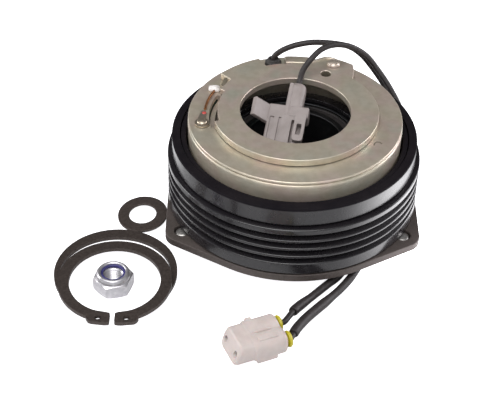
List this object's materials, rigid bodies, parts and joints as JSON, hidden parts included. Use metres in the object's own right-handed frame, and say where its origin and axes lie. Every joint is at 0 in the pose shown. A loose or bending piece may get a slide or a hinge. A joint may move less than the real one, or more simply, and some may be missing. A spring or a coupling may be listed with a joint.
{
  "type": "electromagnetic clutch",
  "caption": "Electromagnetic compressor clutch: field coil, grooved pulley on a ball bearing, sprung armature and splined hub, wired leads with plugs, loose fitting kit.",
  "frame": {"origin": "on the foot plane, under the middle of the clutch and its loose kit; the shaft axis is at x 19.8 mm, y 16.68 mm", "axes": "+Z along the shaft towards the compressor side, where the field coil is; -Y towards the two-way plug"},
  "size_m": [0.1338, 0.14, 0.0577],
  "materials": {
    "chromate_steel": "yellow-chromated zinc on pressed steel, satin with faint iridescence",
    "plain_steel": "plain plated steel, satin",
    "bobbin_nylon": "moulded nylon, matte",
    "copper_wire": "enamelled copper",
    "green_potting": "dark green potting resin",
    "black_rubber": "moulded rubber",
    "black_sleeve": "soft charcoal sleeve",
    "grey_nylon": "moulded nylon, matte",
    "ivory_nylon": "moulded nylon, slightly translucent",
    "mustard_silicone": "moulded silicone",
    "bearing_steel": "ground bearing steel",
    "blackened_steel": "oiled black oxide",
    "zinc_plate": "bright zinc plate",
    "blue_insert": "moulded nylon",
    "black_enamel": "semi-gloss black coating",
    "phosphated_steel": "grey-brown phosphate"
  },
  "bodies": {
    "stator": {"coil_shell": "chromate_steel", "mounting_plate": "chromate_steel", "coil_bobbin": "bobbin_nylon", "coil_winding": "copper_wire", "coil_potting": "green_potting", "tab_rivet": "plain_steel", "earth_terminal": "plain_steel", "earth_rivet": "plain_steel", "coil_end_lead": "copper_wire", "lead_grommet": "black_rubber", "lead_clamp": "chromate_steel", "coil_lead_wire": "black_sleeve", "coil_lead_sleeve": "black_sleeve", "supply_wire": "black_sleeve", "supply_lead_sleeve": "black_sleeve", "supply_connector": "grey_nylon", "supply_terminal": "plain_steel", "plug_housing": "ivory_nylon", "plug_seal_a": "mustard_silicone", "plug_seal_b": "mustard_silicone", "plug_terminal_a": "plain_steel", "plug_terminal_b": "plain_steel", "bearing_inner_ring": "bearing_steel", "coil_circlip": "blackened_steel", "bearing_circlip": "blackened_steel", "shim_washer": "blackened_steel", "lock_nut": "zinc_plate", "lock_nut_insert": "blue_insert"},
    "latch": {"supply_connector_latch": "grey_nylon"},
    "pulley": {"rotor": "black_enamel", "pulley_rim": "black_enamel", "bearing_outer_ring": "bearing_steel", "bearing_seal_top": "black_rubber", "bearing_seal_bottom": "black_rubber"},
    "cage": {"bearing_cage": "bobbin_nylon", "ball_1": "bearing_steel", "ball_2": "bearing_steel", "ball_3": "bearing_steel", "ball_4": "bearing_steel", "ball_5": "bearing_steel", "ball_6": "bearing_steel", "ball_7": "bearing_steel", "ball_8": "bearing_steel", "ball_9": "bearing_steel", "ball_10": "bearing_steel", "ball_11": "bearing_steel", "ball_12": "bearing_steel"},
    "hub": {"hub_boss": "phosphated_steel", "hub_flange": "phosphated_steel", "flange_rivet_1": "plain_steel", "flange_rivet_2": "plain_steel", "flange_rivet_3": "plain_steel", "leaf_spring_1": "plain_steel", "leaf_spring_2": "plain_steel", "leaf_spring_3": "plain_steel"},
    "armature": {"armature_plate": "phosphated_steel", "armature_rivet_1": "plain_steel", "armature_rivet_2": "plain_steel", "armature_rivet_3": "plain_steel"}
  },
  "joints": [
    {"name": "pulley_spin", "type": "hinge", "parent": "stator", "child": "pulley", "pos_m": [0.0198, 0.01668, 0.0236], "axis": [0, 0, 1], "continuous": true},
    {"name": "cage_spin", "type": "hinge", "parent": "stator", "child": "cage", "pos_m": [0.0198, 0.01668, 0.0236], "axis": [0, 0, 1], "continuous": true},
    {"name": "hub_spin", "type": "hinge", "parent": "stator", "child": "hub", "pos_m": [0.0198, 0.01668, 0.0028], "axis": [0, 0, 1], "continuous": true},
    {"name": "armature_pull", "type": "slide", "parent": "hub", "child": "armature", "axis": [0, 0, 1], "range_m": [0, 0.0005], "stiffness_N_per_m": 20000, "deforming": ["leaf_spring_1", "leaf_spring_2", "leaf_spring_3"]},
    {"name": "latch_flex", "type": "hinge", "parent": "stator", "child": "latch", "pos_m": [0.02196, 0.01662, 0.04452], "axis": [0.9831, -0.1831, 0], "range_deg": [-8, 0]}
  ],
  "couplings": [
    {"joint": "cage_spin", "follows": "pulley_spin", "ratio": 0.5575}
  ]
}
